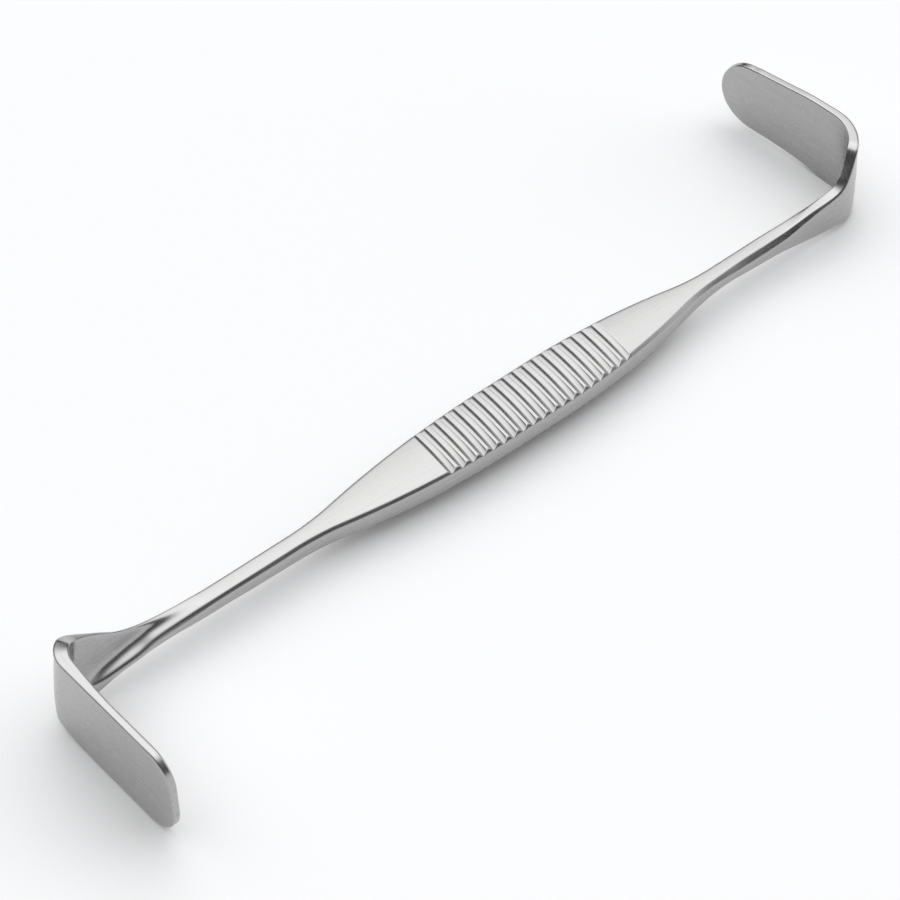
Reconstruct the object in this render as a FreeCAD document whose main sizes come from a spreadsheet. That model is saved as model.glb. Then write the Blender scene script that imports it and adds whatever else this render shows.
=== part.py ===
import FreeCAD, Part
import math
import os
import Sketcher

os.makedirs("parts", exist_ok=True)

# Handheld double-ended retractor, forged and ground from one bar of stainless steel.
# It lies on its side: the flat ribbed grip faces up, and a blade stands on edge at each end.
# Drawing frame: x runs along the handle from the middle of the grip, y across it,
# and z is the height above the table that the blades' lower edges touch.
doc = FreeCAD.newDocument("retractor")
sheet = doc.addObject("Spreadsheet::Sheet", "size")

sizes = {
    # handle, seen from above
    "grip_width": 9.8,
    "grip_parallel": 9.0,       # length of the grip's middle where its sides run parallel
    "shank_width": 2.85,
    "left_belly": 165.0,        # radius of the grip's bulging side, towards the left end
    "right_belly": 125.0,
    "left_neck": 45.0,          # radius of the hollow where the grip runs into the shank
    "right_neck": 36.0,
    # handle, seen from the side
    "handle_top": 7.05,         # height of the handle's flat upper face
    "grip_thick": 4.1,
    "shank_thick": 2.65,
    "belly_length": 40.0,       # length of the full-thickness middle
    # ribs across the grip
    "rib_count": 18.0,
    "rib_pitch": 1.86,
    "rib_land": 0.3,            # flat left on top of each rib
    "groove_depth": 0.5,
    # left end, with the wide blade
    "left_span": 84.0,          # from the middle of the grip to the outside of the bend
    "left_reach": 26.5,         # from the handle's middle line to the blade's tip
    "left_lean": 4.0,           # degrees that the blade is bent past square
    "left_bend": 3.8,           # outside radius of the bend
    "left_flare": 22.2,         # length over which the shank spreads
    "left_thick": 1.2,
    "left_root": 1.9,           # thickness where the bend starts
    "left_top": 18.8,
    "left_tip_top": 18.8,
    "left_tip_bottom": 0.0,
    "left_upper_round": 4.0,
    "left_lower_round": 6.5,
    # right end, with the narrow blade
    "right_span": 69.6,
    "right_reach": 29.0,
    "right_lean": 10.0,
    "right_bend": 7.0,
    "right_flare": 18.6,
    "right_thick": 1.2,
    "right_root": 1.9,
    "right_top": 15.4,
    "right_tip_top": 14.3,
    "right_tip_bottom": 1.2,
    "right_upper_round": 6.3,
    "right_lower_round": 6.3,
    # flares: the inner side band fades out, and both edges sweep from the shank to the blade
    "band_top": 4.9,
    "band_bottom": 3.6,
    "trim_clear": 1.0,          # how far uncut stock and cutters stand past the finished shape
    "left_top_sweep": 24.0,     # length of the sweep, measured back from the blade
    "left_top_start": 7.2,      # height where the sweep starts
    "left_top_crown": 6.0,
    "left_bottom_sweep": 12.0,
    "left_bottom_start": 3.9,
    "left_bottom_crown": 4.0,
    "right_top_stop": 3.0,      # how far before the outside of the bend the top sweep ends
    "right_top_sweep": 6.0,
    "right_top_start": 9.0,
    "right_top_crown": 2.5,
    "right_bottom_sweep": 14.0,
    "right_bottom_start": 3.0,
    "right_bottom_crown": 8.0,
}
for row, (alias, number) in enumerate(sizes.items(), start=1):
    sheet.set(f"A{row}", alias)
    sheet.set(f"B{row}", str(number))
    sheet.setAlias(f"B{row}", alias)
doc.recompute()


def value(expression):
    """Number that an expression over the sheet gives now."""
    return float(sheet.evalExpression(expression))


body = doc.addObject("PartDesign::Body", "retractor")
body.Label = "retractor"
planes = {origin.Role: origin for origin in body.Origin.OriginFeatures}


def newSketch(name, plane):
    sketch = body.newObject("Sketcher::SketchObject", name)
    sketch.AttachmentSupport = [(planes[plane], "")]
    sketch.MapMode = "FlatFace"
    return sketch


def bind(sketch, constraint, expression):
    index = sketch.addConstraint(constraint)
    sketch.setExpression(f"Constraints[{index}]", expression)


def pinPoint(sketch, line, end, across, up):
    """Hold one end of a line at two expressions, measured from the sketch's origin."""
    bind(sketch, Sketcher.Constraint("DistanceX", -1, 1, line, end, value(across)), across)
    bind(sketch, Sketcher.Constraint("DistanceY", -1, 1, line, end, value(up)), up)


def polygon(sketch, corners):
    """Closed outline through corners, each a pair of expressions."""
    places = [FreeCAD.Vector(value(a), value(b), 0) for a, b in corners]
    first = sketch.GeometryCount
    for here, there in zip(places, places[1:] + places[:1]):
        sketch.addGeometry(Part.LineSegment(here, there), False)
    for number, (across, up) in enumerate(corners):
        last = (number - 1) % len(corners)
        sketch.addConstraint(Sketcher.Constraint("Coincident", first + last, 2, first + number, 1))
        pinPoint(sketch, first + number, 1, across, up)


def place(sketch, side, along, across, turn):
    """Move a sketch on the YZ plane out to an end of the tool. side is 1 right, -1 left."""
    half = "180 + " if side < 0 else ""
    sketch.AttachmentOffset = FreeCAD.Placement(
        FreeCAD.Vector(side * value(across), 0, side * value(along)),
        FreeCAD.Rotation(FreeCAD.Vector(0, 1, 0), value(half + turn)))
    sketch.setExpression("AttachmentOffset.Base.x", f"{side} * ({across})")
    sketch.setExpression("AttachmentOffset.Base.z", f"{side} * ({along})")
    sketch.setExpression("AttachmentOffset.Rotation.Angle", f"{half}{turn}")


# Handle

def neckPoint(end, sign):
    """Middle of the neck's hollow, and the point where it meets the bulging side."""
    belly = value(f"size.{end}_belly")
    neck = value(f"size.{end}_neck")
    half = value("size.grip_parallel / 2")
    drop = value("(size.grip_width - size.shank_width) / 2")
    reach = math.sqrt((belly + neck) ** 2 - (belly + neck - drop) ** 2)
    wide = value("size.grip_width / 2")
    bellyMiddle = FreeCAD.Vector(sign * half, wide - belly, 0)
    neckMiddle = FreeCAD.Vector(sign * (half + reach), wide - drop + neck, 0)
    meet = bellyMiddle + (neckMiddle - bellyMiddle) * (belly / (belly + neck))
    return bellyMiddle, neckMiddle, meet


def makeHandle():
    """Grip and shanks: half of the plan is drawn, padded and mirrored."""
    plan = newSketch("handle_plan", "XY_Plane")
    plan.setExpression("AttachmentOffset.Base.z", "size.handle_top - size.grip_thick")
    half = value("size.grip_parallel / 2")
    wide = value("size.grip_width / 2")
    slim = value("size.shank_width / 2")
    ends = {"left": -value("size.left_span - size.left_bend - size.left_flare"),
            "right": value("size.right_span - size.right_bend - size.right_flare")}
    leftBelly, leftNeck, leftMeet = neckPoint("left", -1)
    rightBelly, rightNeck, rightMeet = neckPoint("right", 1)
    up = FreeCAD.Vector(0, 0, 1)

    def arc(middle, start, stop):
        circle = Part.Circle(middle, up, (start - middle).Length)
        return Part.ArcOfCircle(circle, circle.parameter(start), circle.parameter(stop))

    point = FreeCAD.Vector
    plan.addGeometry(Part.LineSegment(point(-half, wide, 0), point(half, wide, 0)), False)
    plan.addGeometry(arc(rightBelly, rightMeet, point(half, wide, 0)), False)
    plan.addGeometry(arc(rightNeck, rightMeet, point(rightNeck.x, slim, 0)), False)
    plan.addGeometry(Part.LineSegment(point(rightNeck.x, slim, 0), point(ends["right"], slim, 0)), False)
    plan.addGeometry(Part.LineSegment(point(ends["right"], slim, 0), point(ends["right"], 0, 0)), False)
    plan.addGeometry(Part.LineSegment(point(ends["right"], 0, 0), point(ends["left"], 0, 0)), False)
    plan.addGeometry(Part.LineSegment(point(ends["left"], 0, 0), point(ends["left"], slim, 0)), False)
    plan.addGeometry(Part.LineSegment(point(ends["left"], slim, 0), point(leftNeck.x, slim, 0)), False)
    plan.addGeometry(arc(leftNeck, point(leftNeck.x, slim, 0), leftMeet), False)
    plan.addGeometry(arc(leftBelly, point(-half, wide, 0), leftMeet), False)
    tangents = [(0, 2, 1, 2), (1, 1, 2, 1), (2, 2, 3, 1), (7, 2, 8, 1), (8, 2, 9, 2), (9, 1, 0, 1)]
    for pair in tangents:
        plan.addConstraint(Sketcher.Constraint("Tangent", *pair))
    for line in (3, 4, 5, 6):
        plan.addConstraint(Sketcher.Constraint("Coincident", line, 2, line + 1, 1))
    pinPoint(plan, 0, 1, "-size.grip_parallel / 2", "size.grip_width / 2")
    pinPoint(plan, 0, 2, "size.grip_parallel / 2", "size.grip_width / 2")
    pinPoint(plan, 4, 1, "size.right_span - size.right_bend - size.right_flare", "size.shank_width / 2")
    pinPoint(plan, 4, 2, "size.right_span - size.right_bend - size.right_flare", "0")
    pinPoint(plan, 6, 1, "-(size.left_span - size.left_bend - size.left_flare)", "0")
    pinPoint(plan, 6, 2, "-(size.left_span - size.left_bend - size.left_flare)", "size.shank_width / 2")
    plan.addConstraint(Sketcher.Constraint("Horizontal", 3))
    plan.addConstraint(Sketcher.Constraint("Horizontal", 7))
    for number, alias in ((1, "right_belly"), (2, "right_neck"), (8, "left_neck"), (9, "left_belly")):
        bind(plan, Sketcher.Constraint("Radius", number, value(f"size.{alias}")), f"size.{alias}")
    bar = body.newObject("PartDesign::Pad", "handle")
    bar.Profile = plan
    bar.setExpression("Length", "size.grip_thick")
    both = body.newObject("PartDesign::Mirrored", "handle_both_sides")
    both.Originals = [bar]
    both.MirrorPlane = (planes["XZ_Plane"], [""])
    body.Tip = both
    doc.recompute()

    # the underside rises from the full-thickness belly to the thin shanks
    under = newSketch("underside", "XZ_Plane")
    shankBottom = "size.handle_top - size.shank_thick"
    gripBottom = "size.handle_top - size.grip_thick"
    for sign, end in ((1, "right"), (-1, "left")):
        shankEnd = f"{sign} * (size.{end}_span - size.{end}_bend - size.{end}_flare)"
        bellyEnd = f"{sign} * size.belly_length / 2"
        polygon(under, [(bellyEnd, gripBottom), (shankEnd, shankBottom),
                        (shankEnd, f"{gripBottom} - size.trim_clear"),
                        (bellyEnd, f"{gripBottom} - size.trim_clear")])
    cut = body.newObject("PartDesign::Pocket", "underside_taper")
    cut.Profile = under
    cut.SideType = "Symmetric"
    cut.setExpression("Length", "2 * size.grip_width")
    body.Tip = cut
    doc.recompute()


# Ends

def makeEnd(end, side):
    """Spread the shank into a strip standing on edge, bend the strip, trim it and add the blade."""
    size = f"size.{end}_"
    half = "size.shank_width / 2"
    bendStart = f"{size}span - {size}bend"
    bendEnd = f"{bendStart} + {size}bend * cos({size}lean * 1 deg)"
    shankEnd = f"{bendStart} - {size}flare"
    middle = f"{size}bend - {half}"
    inner = f"{size}root - {half}"
    shankBottom = "size.handle_top - size.shank_thick"

    shank = newSketch(f"{end}_shank_section", "YZ_Plane")
    polygon(shank, [(f"-{half}", shankBottom), (inner, shankBottom), (half, shankBottom),
                    (half, "size.handle_top"), (inner, "size.handle_top"), (f"-{half}", "size.handle_top")])
    place(shank, side, shankEnd, "0", "0")
    strip = newSketch(f"{end}_strip_section", "YZ_Plane")
    polygon(strip, [(f"-{half}", "-size.trim_clear"), (inner, "-size.trim_clear"),
                    (inner, "size.band_bottom"), (inner, "size.band_top"),
                    (inner, f"{size}top + size.trim_clear"), (f"-{half}", f"{size}top + size.trim_clear")])
    place(strip, side, bendStart, "0", "0")
    flare = body.newObject("PartDesign::AdditiveLoft", f"{end}_flare")
    flare.Profile = shank
    flare.Sections = [strip]
    flare.Ruled = True
    body.Tip = flare
    doc.recompute()

    makeBend(end, side, bendStart, middle, inner)
    near = f"{shankEnd} - size.trim_clear"
    topEnd = {"left": bendEnd, "right": f"{bendEnd} - size.right_top_stop"}[end]
    trimEdge(end, side, 1, "top", [near, topEnd], "size.handle_top", f"{size}top")
    trimEdge(end, side, -1, "bottom", [near, bendEnd], shankBottom, "0")
    makeBlade(end, side, bendStart, middle)


def makeBend(end, side, bendStart, middle, inner):
    """Quarter turn of the strip, thinning from the flare to the blade."""
    size = f"size.{end}_"
    lean = math.radians(value(f"{size}lean"))
    radius = value(f"{size}bend")
    centre = FreeCAD.Vector(value(bendStart), value(middle), 0)
    outward = FreeCAD.Vector(math.cos(lean), math.sin(lean), 0)
    start = centre - FreeCAD.Vector(0, radius, 0)
    stop = centre + outward * radius
    startInner = FreeCAD.Vector(value(bendStart), value(inner), 0)
    stopInner = stop - outward * value(f"{size}thick")
    chord = startInner - stopInner
    innerRadius = chord.dot(chord) / (-2 * chord.dot(outward))
    innerCentre = stopInner - outward * innerRadius
    plan = newSketch(f"{end}_bend_plan", "XY_Plane")
    plan.AttachmentOffset = FreeCAD.Placement(
        FreeCAD.Vector(0, 0, 0), FreeCAD.Rotation(FreeCAD.Vector(0, 0, 1), 0 if side > 0 else 180))
    plan.setExpression("AttachmentOffset.Base.z", "-size.trim_clear")
    up = FreeCAD.Vector(0, 0, 1)
    outerArc = Part.Circle(centre, up, radius)
    plan.addGeometry(Part.ArcOfCircle(outerArc, -math.pi / 2, lean), False)
    plan.addGeometry(Part.LineSegment(stop, stopInner), False)
    innerArc = Part.Circle(innerCentre, up, innerRadius)
    begin = math.atan2(startInner.y - innerCentre.y, startInner.x - innerCentre.x)
    plan.addGeometry(Part.ArcOfCircle(innerArc, begin, lean), False)
    plan.addGeometry(Part.LineSegment(startInner, start), False)
    for pair in ((2, 1, 3, 1), (3, 2, 0, 1)):
        plan.addConstraint(Sketcher.Constraint("Coincident", *pair))
    bind(plan, Sketcher.Constraint("DistanceX", -1, 1, 0, 3, centre.x), bendStart)
    bind(plan, Sketcher.Constraint("DistanceY", -1, 1, 0, 3, centre.y), middle)
    bind(plan, Sketcher.Constraint("Radius", 0, radius), f"{size}bend")
    plan.addConstraint(Sketcher.Constraint("Vertical", 3))
    plan.addConstraint(Sketcher.Constraint("Vertical", 0, 1, 0, 3))
    plan.addConstraint(Sketcher.Constraint("Perpendicular", 0, 2, 1, 1))
    plan.addConstraint(Sketcher.Constraint("Perpendicular", 1, 2, 2, 2))
    bind(plan, Sketcher.Constraint("Distance", 1, value(f"{size}thick")), f"{size}thick")
    bind(plan, Sketcher.Constraint("Distance", 3, value(f"{size}root")), f"{size}root")
    angle = f"{size}lean * 1 deg + 180 deg"
    bind(plan, Sketcher.Constraint("Angle", 1, math.pi + lean), angle)
    bend = body.newObject("PartDesign::Pad", f"{end}_bend")
    bend.Profile = plan
    bend.setExpression("Length", f"{size}top + 2 * size.trim_clear")
    body.Tip = bend
    doc.recompute()


def trimEdge(end, side, up, edge, reach, shankLevel, bladeLevel):
    """Cut the flare and bend along one edge of their side view. The edge leaves the shank
    in a straight line, then sweeps to the blade's edge in a hollow arc and a crown arc.
    up is 1 for the top edge and -1 for the bottom one."""
    size = f"size.{end}_{edge}_"
    nearX, sweepEnd = reach
    sweepStart = f"{sweepEnd} - {size}sweep"
    farX = f"size.{end}_span + size.trim_clear"
    farZ = f"{bladeLevel} + {up} * 2 * size.trim_clear"
    run = value(f"{size}sweep")
    rise = abs(value(f"{bladeLevel} - {size}start"))
    crown = value(f"{size}crown")
    hollow = (run ** 2 + rise ** 2) / (2 * rise) - crown

    def spot(along, height):
        return FreeCAD.Vector(side * value(along), value(height), 0)

    begin = spot(sweepStart, f"{size}start")
    finish = spot(sweepEnd, bladeLevel)
    hollowCentre = begin + FreeCAD.Vector(0, up * hollow, 0)
    crownCentre = finish - FreeCAD.Vector(0, up * crown, 0)
    meet = hollowCentre + (crownCentre - hollowCentre) * (hollow / (hollow + crown))
    view = newSketch(f"{end}_{edge}_view", "XZ_Plane")
    outline = [spot(sweepEnd, bladeLevel), spot(farX, bladeLevel), spot(farX, farZ), spot(nearX, farZ),
               spot(nearX, shankLevel), begin]
    for here, there in zip(outline, outline[1:]):
        view.addGeometry(Part.LineSegment(here, there), False)
    upright = FreeCAD.Vector(0, 0, 1)
    forward = side * up > 0
    for centre, first, last in ((hollowCentre, begin, meet), (crownCentre, finish, meet)):
        circle = Part.Circle(centre, upright, (first - centre).Length)
        ends = (first, last) if forward else (last, first)
        view.addGeometry(Part.ArcOfCircle(circle, *(circle.parameter(p) for p in ends)), False)
    near, away = (1, 2) if forward else (2, 1)
    for line in range(4):
        view.addConstraint(Sketcher.Constraint("Coincident", line, 2, line + 1, 1))
    view.addConstraint(Sketcher.Constraint("Coincident", 4, 2, 5, near))
    view.addConstraint(Sketcher.Constraint("Tangent", 5, away, 6, away))
    view.addConstraint(Sketcher.Constraint("Tangent", 6, near, 0, 1))
    view.addConstraint(Sketcher.Constraint("Vertical", 5, 3, 5, near))
    pinPoint(view, 0, 1, f"{side} * ({sweepEnd})", bladeLevel)
    pinPoint(view, 1, 1, f"{side} * ({farX})", bladeLevel)
    pinPoint(view, 2, 1, f"{side} * ({farX})", farZ)
    pinPoint(view, 3, 1, f"{side} * ({nearX})", farZ)
    pinPoint(view, 4, 1, f"{side} * ({nearX})", shankLevel)
    pinPoint(view, 4, 2, f"{side} * ({sweepStart})", f"{size}start")
    bind(view, Sketcher.Constraint("Radius", 6, crown), f"{size}crown")
    cut = body.newObject("PartDesign::Pocket", f"{end}_{edge}_trim")
    cut.Profile = view
    cut.SideType = "Symmetric"
    cut.setExpression("Length", f"4 * size.{end}_bend + 2 * size.grip_width")
    before = body.Shape.Volume
    body.Tip = cut
    doc.recompute()
    if body.Shape.Volume >= before:
        raise RuntimeError(f"{cut.Name} removed nothing")


def makeBlade(end, side, bendStart, middle):
    """Flat blade with a rounded tip, running on from the bend."""
    size = f"size.{end}_"
    lean = f"{size}lean"
    length = f"({size}reach - ({middle}) - {size}bend * sin({lean} * 1 deg)) / cos({lean} * 1 deg)"
    outline = newSketch(f"{end}_blade_outline", "YZ_Plane")
    long = value(length)
    upper = value(f"{size}upper_round")
    lower = value(f"{size}lower_round")
    tipTop = value(f"{size}tip_top")
    tipBottom = value(f"{size}tip_bottom")
    point = FreeCAD.Vector
    outline.addGeometry(Part.LineSegment(point(0, 0, 0), point(long - lower, tipBottom, 0)), False)
    lowerArc = Part.Circle(point(long - lower, tipBottom + lower, 0), point(0, 0, 1), lower)
    outline.addGeometry(Part.ArcOfCircle(lowerArc, -math.pi / 2, 0), False)
    tipLine = Part.LineSegment(point(long, tipBottom + lower, 0), point(long, tipTop - upper, 0))
    outline.addGeometry(tipLine, False)
    upperArc = Part.Circle(point(long - upper, tipTop - upper, 0), point(0, 0, 1), upper)
    outline.addGeometry(Part.ArcOfCircle(upperArc, 0, math.pi / 2), False)
    rootTop = value(f"{size}top")
    outline.addGeometry(Part.LineSegment(point(long - upper, tipTop, 0), point(0, rootTop, 0)), False)
    outline.addGeometry(Part.LineSegment(point(0, rootTop, 0), point(0, 0, 0)), False)
    for pair in ((0, 2, 1, 1), (1, 2, 2, 1), (2, 2, 3, 1), (3, 2, 4, 1)):
        outline.addConstraint(Sketcher.Constraint("Tangent", *pair))
    outline.addConstraint(Sketcher.Constraint("Coincident", 4, 2, 5, 1))
    outline.addConstraint(Sketcher.Constraint("Coincident", 5, 2, 0, 1))
    pinPoint(outline, 5, 1, "0", f"{size}top")
    pinPoint(outline, 5, 2, "0", "0")
    outline.addConstraint(Sketcher.Constraint("Vertical", 2))
    bind(outline, Sketcher.Constraint("DistanceX", -1, 1, 2, 1, long), length)
    bind(outline, Sketcher.Constraint("Radius", 1, lower), f"{size}lower_round")
    bind(outline, Sketcher.Constraint("Radius", 3, upper), f"{size}upper_round")
    slopeUp = f"atan2({size}tip_bottom; {length})"
    slopeDown = f"180 deg + atan2({size}top - {size}tip_top; {length}) * -1"
    bind(outline, Sketcher.Constraint("Angle", 0, math.radians(value(slopeUp))), slopeUp)
    bind(outline, Sketcher.Constraint("Angle", 4, math.radians(value(slopeDown))), slopeDown)
    place(outline, side, f"{bendStart} + {size}bend * cos({lean} * 1 deg)",
          f"{middle} + {size}bend * sin({lean} * 1 deg)", lean)
    blade = body.newObject("PartDesign::Pad", f"{end}_blade")
    blade.Profile = outline
    blade.setExpression("Length", f"{size}thick")
    blade.Reversed = True
    body.Tip = blade
    doc.recompute()


def makeRibs():
    """Grooves across both faces of the grip, with a rounded rib left between each two."""
    groove = newSketch("groove", "XZ_Plane")
    cutRib(groove, 1, "size.handle_top")
    cutRib(groove, -1, "size.handle_top - size.grip_thick")
    cut = body.newObject("PartDesign::Pocket", "groove_cut")
    cut.Profile = groove
    cut.SideType = "Symmetric"
    cut.setExpression("Length", "2 * size.grip_width")
    row = body.newObject("PartDesign::LinearPattern", "ribs")
    row.Originals = [cut]
    row.Direction = (planes["X_Axis"], [""])
    row.setExpression("Length", "size.rib_count * size.rib_pitch")
    row.setExpression("Occurrences", "size.rib_count + 1")
    body.Tip = row
    doc.recompute()


def cutRib(groove, up, face):
    """First groove's outline on one face: two rib flanks that curve down to a narrow bottom.
    up is 1 for the upper face and -1 for the underside."""
    middle = "-size.rib_count * size.rib_pitch / 2"
    half = "(size.rib_pitch - size.rib_land) / 2"
    flank = f"(({half}) ^ 2 + size.groove_depth ^ 2) / (2 * size.groove_depth)"
    clear = f"{face} + {up} * size.trim_clear"
    radius = value(flank)
    first = groove.GeometryCount
    spot = FreeCAD.Vector
    corners = {side: spot(value(f"{middle} + {side} * {half}"), value(face), 0) for side in (-1, 1)}
    rises = {side: spot(corners[side].x, value(clear), 0) for side in (-1, 1)}
    groove.addGeometry(Part.LineSegment(corners[1], rises[1]), False)
    groove.addGeometry(Part.LineSegment(rises[1], rises[-1]), False)
    groove.addGeometry(Part.LineSegment(rises[-1], corners[-1]), False)
    bottom = spot(value(middle), value(f"{face} - {up} * size.groove_depth"), 0)
    for side in (-1, 1):
        centre = corners[side] - spot(0, up * radius, 0)
        circle = Part.Circle(centre, spot(0, 0, 1), radius)
        ends = (corners[side], bottom) if side * up > 0 else (bottom, corners[side])
        groove.addGeometry(Part.ArcOfCircle(circle, *(circle.parameter(end) for end in ends)), False)
    tops = {side: 1 if side * up > 0 else 2 for side in (-1, 1)}
    arcs = {-1: first + 3, 1: first + 4}
    groove.addConstraint(Sketcher.Constraint("Coincident", first, 2, first + 1, 1))
    groove.addConstraint(Sketcher.Constraint("Coincident", first + 1, 2, first + 2, 1))
    groove.addConstraint(Sketcher.Constraint("Coincident", arcs[1], tops[1], first, 1))
    groove.addConstraint(Sketcher.Constraint("Coincident", arcs[-1], tops[-1], first + 2, 2))
    groove.addConstraint(Sketcher.Constraint("Coincident", arcs[-1], 3 - tops[-1], arcs[1], 3 - tops[1]))
    for side in (-1, 1):
        groove.addConstraint(Sketcher.Constraint("Vertical", arcs[side], 3, arcs[side], tops[side]))
        bind(groove, Sketcher.Constraint("Radius", arcs[side], radius), flank)
    pinPoint(groove, first, 1, f"{middle} + {half}", face)
    pinPoint(groove, first, 2, f"{middle} + {half}", clear)
    pinPoint(groove, first + 2, 1, f"{middle} - {half}", clear)
    pinPoint(groove, first + 2, 2, f"{middle} - {half}", face)


makeHandle()
makeEnd("left", -1)
makeEnd("right", 1)
makeRibs()
body.setExpression("Placement.Base.x", "(size.left_span - size.right_span) / 2")
body.setExpression("Placement.Base.y", "(size.left_reach - size.right_reach) / 2")
doc.recompute()

for item in doc.Objects:
    if "Invalid" in item.State or "Error" in item.State:
        raise RuntimeError(f"{item.Name} failed: {item.State}")
if body.Shape.isNull() or not body.Shape.isValid():
    raise RuntimeError("the retractor's shape is not valid")
body.Shape.exportStep(f"parts/{body.Label}.step")
box = body.Shape.optimalBoundingBox()
print(f"{body.Label}: {len(body.Shape.Solids)} solid, {len(body.Shape.Faces)} faces, "
      f"{body.Shape.Volume:.1f} mm3, box {box.XMin:.2f} {box.YMin:.2f} {box.ZMin:.2f} "
      f"to {box.XMax:.2f} {box.YMax:.2f} {box.ZMax:.2f}")
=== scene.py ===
import math
import bmesh
import bpy
import numpy as np
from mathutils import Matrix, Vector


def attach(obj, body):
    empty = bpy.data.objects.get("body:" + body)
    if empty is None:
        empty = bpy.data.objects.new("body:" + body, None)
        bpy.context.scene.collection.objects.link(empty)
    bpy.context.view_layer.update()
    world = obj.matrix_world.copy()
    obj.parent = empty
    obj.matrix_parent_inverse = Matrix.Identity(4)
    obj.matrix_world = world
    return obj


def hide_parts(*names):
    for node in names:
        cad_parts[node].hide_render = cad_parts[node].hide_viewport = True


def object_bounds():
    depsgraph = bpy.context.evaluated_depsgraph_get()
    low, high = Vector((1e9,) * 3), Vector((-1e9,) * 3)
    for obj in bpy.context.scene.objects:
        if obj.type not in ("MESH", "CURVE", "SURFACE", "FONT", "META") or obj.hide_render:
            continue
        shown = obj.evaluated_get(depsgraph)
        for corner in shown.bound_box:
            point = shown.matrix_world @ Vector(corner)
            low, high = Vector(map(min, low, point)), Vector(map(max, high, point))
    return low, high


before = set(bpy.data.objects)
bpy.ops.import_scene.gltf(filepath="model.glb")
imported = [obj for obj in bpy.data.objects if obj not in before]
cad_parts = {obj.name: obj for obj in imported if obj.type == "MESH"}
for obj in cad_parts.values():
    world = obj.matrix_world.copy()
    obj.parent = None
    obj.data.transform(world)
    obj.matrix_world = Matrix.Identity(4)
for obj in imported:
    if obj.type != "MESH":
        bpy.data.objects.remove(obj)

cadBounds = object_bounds()
scene = bpy.context.scene

# All shapes are worked out in millimetres from the middle of the grip and turned to metres
# when the mesh is made. At each end u runs outwards along the handle and v the way the blade
# points, so both ends share their code.
tool = {
    "unit": 0.001,
    "brushUnit": 0.01,      # brush coordinates to a millimetre
    "boxGap": 1e-6,         # metres left free inside the CAD box
    "tiny": 1e-6,           # keeps a length from being nothing
    "middleX": 7.2,
    "middleY": -1.25,
    "slimHalf": 1.425,      # half the shank's width, and how far inside the outer face the path runs
}
grip = {
    "halfWidth": 4.9,
    "halfParallel": 4.5,
    "top": 7.05,
    "underside": 2.95,
    "thinUnderside": 4.4,
    "bellyHalf": 20.0,
    "crownShare": 0.034,    # rise of the upper and lower faces' middle, to their width
    "crownSink": 0.7,       # how much of that rise comes from lowering the edges
    "crestPlace": 14 / 36,  # ridge of the upper face, as a share of its width
    "sideBulge": 0.14,
}
ribs = {
    "count": 18,
    "pitch": 1.86,
    "depth": 0.34,
    "land": 0.133,          # shares of the pitch: level, falling, and the rest rising
    "fall": 0.43,
    "fallPower": 1.5,
    "risePower": 1.1,
    "lip": 0.24,            # share of the rise that is a steep lip beside the land
    "lipPower": 11.0,
    "bow": 13.0,            # the cut follows the crown
    "spread": 15000.0,      # and grows deeper towards the near edge
    "lean": 70.0,
    "blend": 0.03,
    "runOut": 0.6,          # pitches past the outermost rib where the rings stay close
    "softFrom": 0.4,        # the rounding changes from before the outermost rib's end to past it
    "softTo": 1.2,
    # shares of the pitch where rings are drawn
    "rings": (0.0, 0.06, 0.11, 0.17, 0.23, 0.29, 0.35, 0.41, 0.46, 0.5, 0.55, 0.65, 0.76, 0.84, 0.885,
              0.92),
}

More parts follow.
